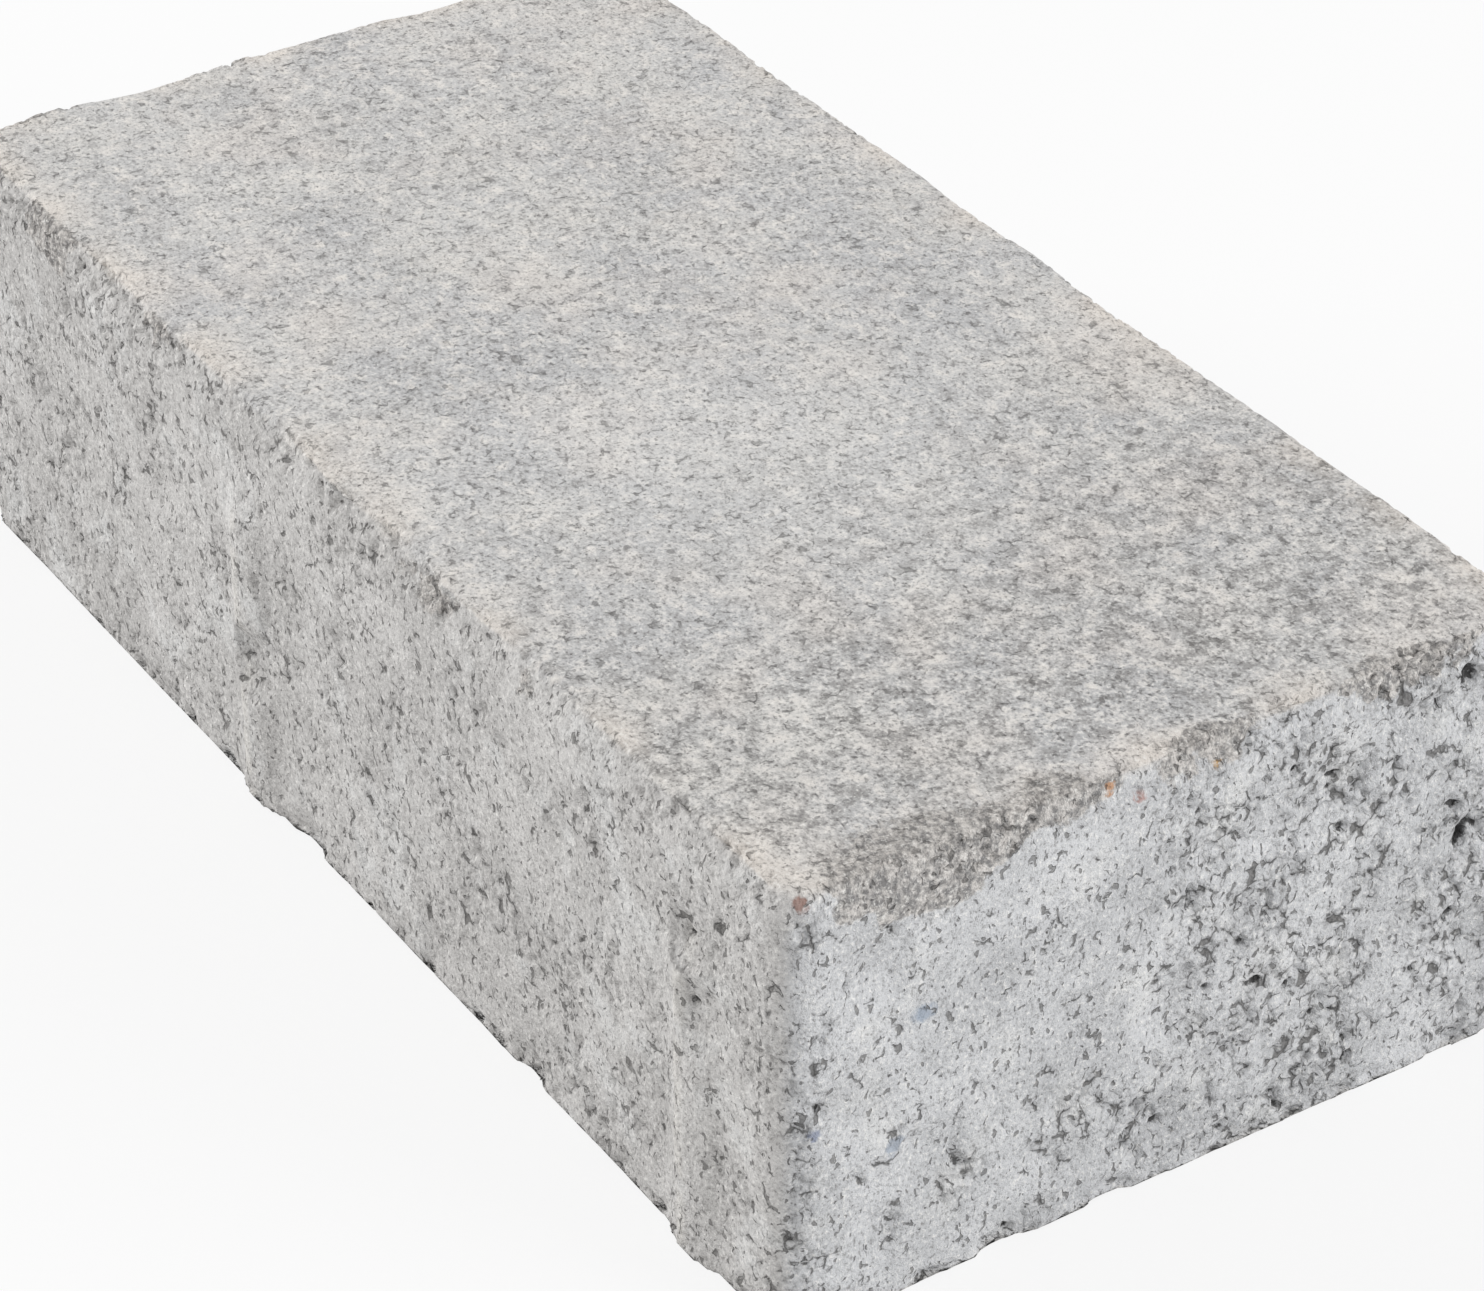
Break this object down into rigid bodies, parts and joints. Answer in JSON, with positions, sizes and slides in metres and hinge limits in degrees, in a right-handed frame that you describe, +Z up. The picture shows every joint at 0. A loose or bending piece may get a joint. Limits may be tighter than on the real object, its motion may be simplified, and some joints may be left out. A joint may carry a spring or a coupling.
{
  "type": "concrete paving stone",
  "caption": "Rectangular concrete paving block with a wavy worn top edge, rounded upright corners, low spacer ribs on its long sides, shallow hollows in its sides and a flat underside.",
  "frame": {"origin": "centre of the flat underside, at the bottom centre of the stone", "axes": "+X along the long side, +Y across it, +Z up through the worn top face"},
  "size_m": [0.2, 0.1044, 0.058],
  "materials": {
    "concrete": "matt fine-grained grey concrete, cloudy light and dark on top, open-pored and sandy on the sides"
  },
  "bodies": {
    "root": {"paving_stone": "concrete"}
  },
  "joints": []
}
